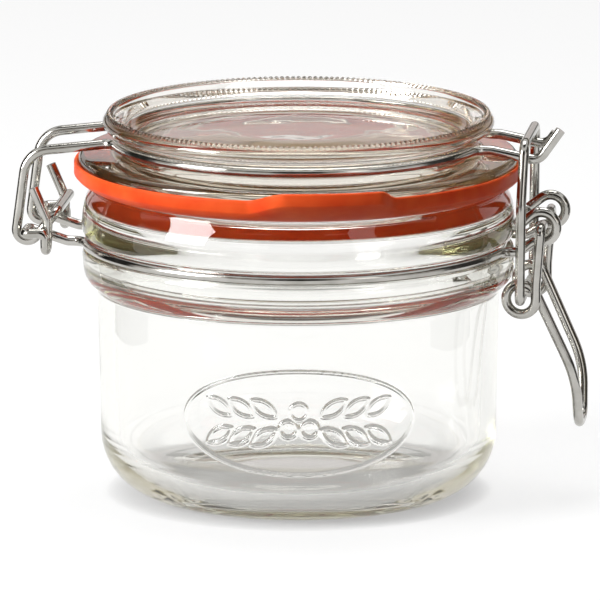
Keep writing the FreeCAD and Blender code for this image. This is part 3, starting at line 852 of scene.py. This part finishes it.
def studio_world():
    """Plain light for the jar, and the banded room for what glass and metal show."""
    world = bpy.data.worlds.new("studio")
    bpy.context.scene.world = world
    world.use_nodes = True
    tree = world.node_tree
    plain = tree.nodes["Background"]
    plain.inputs["Color"].default_value = WHITE
    plain.inputs["Strength"].default_value = WORLD_LIGHT
    direction = add_node(tree, "ShaderNodeTexCoord")
    parts = add_node(tree, "ShaderNodeSeparateXYZ", Vector=direction.outputs["Generated"])
    bands = add_node(tree, "ShaderNodeValToRGB", Fac=parts.outputs["Z"])
    stops = bands.color_ramp.elements
    stops[0].position, stops[0].color = HORIZON_TOP, WHITE
    stops[1].position, stops[1].color = 1.0, colour(OVERHEAD)
    for height, shade in ROOM_BANDS:
        stops.new(height).color = colour(shade)
    room = add_node(tree, "ShaderNodeBackground", Color=bands.outputs["Color"])
    shown = add_node(tree, "ShaderNodeMixShader", Fac=background_rays(tree))
    tree.links.new(plain.outputs["Background"], shown.inputs[1])
    tree.links.new(room.outputs["Background"], shown.inputs[2])
    tree.links.new(shown.outputs["Shader"], tree.nodes["World Output"].inputs["Surface"])
    print(f"world light {WORLD_LIGHT}, {len(stops)} stops in the room's bands")


studio_world()

# %% [markdown]
# ## Lamps and cards
# A large soft lamp at the left, a weak one at the right and one above light the jar at a plain
# level. Three dark cards give the wires and the glass something dark to mirror, as cards beside
# a jar do in a studio: one at each side and a tall one in front. They are seen in reflections
# only. To the camera, to light that goes through glass, and to shadows they aren't there.

# %% Lamps and cards
MIDDLE = (0, 0, LID_TOP * MM / 2)
SIDE_CARD = (0.17, 0.02, 0.09)


def softbox(name, place, width, height, watts):
    """A rectangular lamp that faces the middle of the jar."""
    lamp = bpy.data.lights.new(name, "AREA")
    lamp.shape = "RECTANGLE"
    lamp.size, lamp.size_y = width, height
    lamp.energy = watts
    holder = bpy.data.objects.new(name, lamp)
    bpy.context.scene.collection.objects.link(holder)
    holder.location = place
    holder.rotation_euler = (Vector(MIDDLE) - Vector(place)).to_track_quat("-Z", "Y").to_euler()
    print(f"{name}: {width} by {height} m, {watts} W")


def dark_card(name, place, width, height, grey):
    """An upright card that faces the jar's axis and shows in reflections only."""
    made = bmesh.new()
    bmesh.ops.create_grid(made, x_segments=1, y_segments=1, size=0.5)
    bmesh.ops.scale(made, verts=made.verts, vec=(width, height, 1))
    card = mesh_object(name, made)
    card.location = place
    to_axis = Vector((0, 0, place[2])) - Vector(place)
    card.rotation_euler = to_axis.to_track_quat("Z", "Y").to_euler()
    material, _, shader = new_material(name + "_paper")
    shader.inputs["Base Color"].default_value = colour(grey)
    shader.inputs["Roughness"].default_value = 1.0
    card.data.materials.append(material)
    card.visible_camera = False
    card.visible_diffuse = False
    card.visible_shadow = False
    card.visible_transmission = False
    print(f"{name}: {width} by {height} m, {grey}")


softbox("key_left", (-0.72, -0.5, 0.34), 0.4, 0.5, 11)
softbox("fill_right", (0.55, -0.6, 0.3), 0.2, 0.5, 0.5)
softbox("top", (0, 0.15, 0.8), 0.5, 0.35, 3.6)
for side in (-1, 1):
    dark_card(f"card_{side}", (SIDE_CARD[0] * side, *SIDE_CARD[1:]), 0.1, 0.18, "#2A2826")
dark_card("card_front", (0.12, -1.0, 0.5), 0.55, 1.0, "#2E2A24")

# %% [markdown]
# ## Camera
# A long lens from far away, as products are often shown, a little to the clip's side and a
# little above. The lens follows from the width that the view takes in at the jar.

# %% Camera
AZIMUTH, ELEVATION = math.radians(6.9), math.radians(11.6)
AIM = Vector((0.3, 0, LID_TOP / 2 + 0.1)) * MM
DISTANCE = 2.4
VIEW_WIDTH = 120.0

camera = bpy.data.objects.new("camera", bpy.data.cameras.new("camera"))
bpy.context.scene.collection.objects.link(camera)
away = Vector((math.sin(AZIMUTH) * math.cos(ELEVATION), -math.cos(AZIMUTH) * math.cos(ELEVATION),
               math.sin(ELEVATION)))
camera.location = AIM + away * DISTANCE
camera.rotation_euler = away.to_track_quat("Z", "Y").to_euler()
camera.data.sensor_width = 36
camera.data.lens = camera.data.sensor_width * DISTANCE / (VIEW_WIDTH * MM)
bpy.context.scene.camera = camera
bpy.context.scene.view_settings.view_transform = "Standard"
print(f"lens {camera.data.lens:.1f} mm at {DISTANCE} m")

# %% [markdown]
# ## Light in thick glass
# Light that enters the thick foot and collar is mirrored many times inside before it gets out.
# By default Cycles gives up on a ray after 12 such steps and paints it black, which leaves dark
# blotches in the heel. Higher limits let those rays out; most rays stop long before.

# %% Limits on light paths
MOST_BOUNCES, MOST_MIRRORED = 40, 32

paths = bpy.context.scene.cycles
paths.max_bounces, paths.transmission_bounces = MOST_BOUNCES, MOST_BOUNCES
paths.glossy_bounces = MOST_MIRRORED
print("light may bounce", paths.max_bounces, "times")
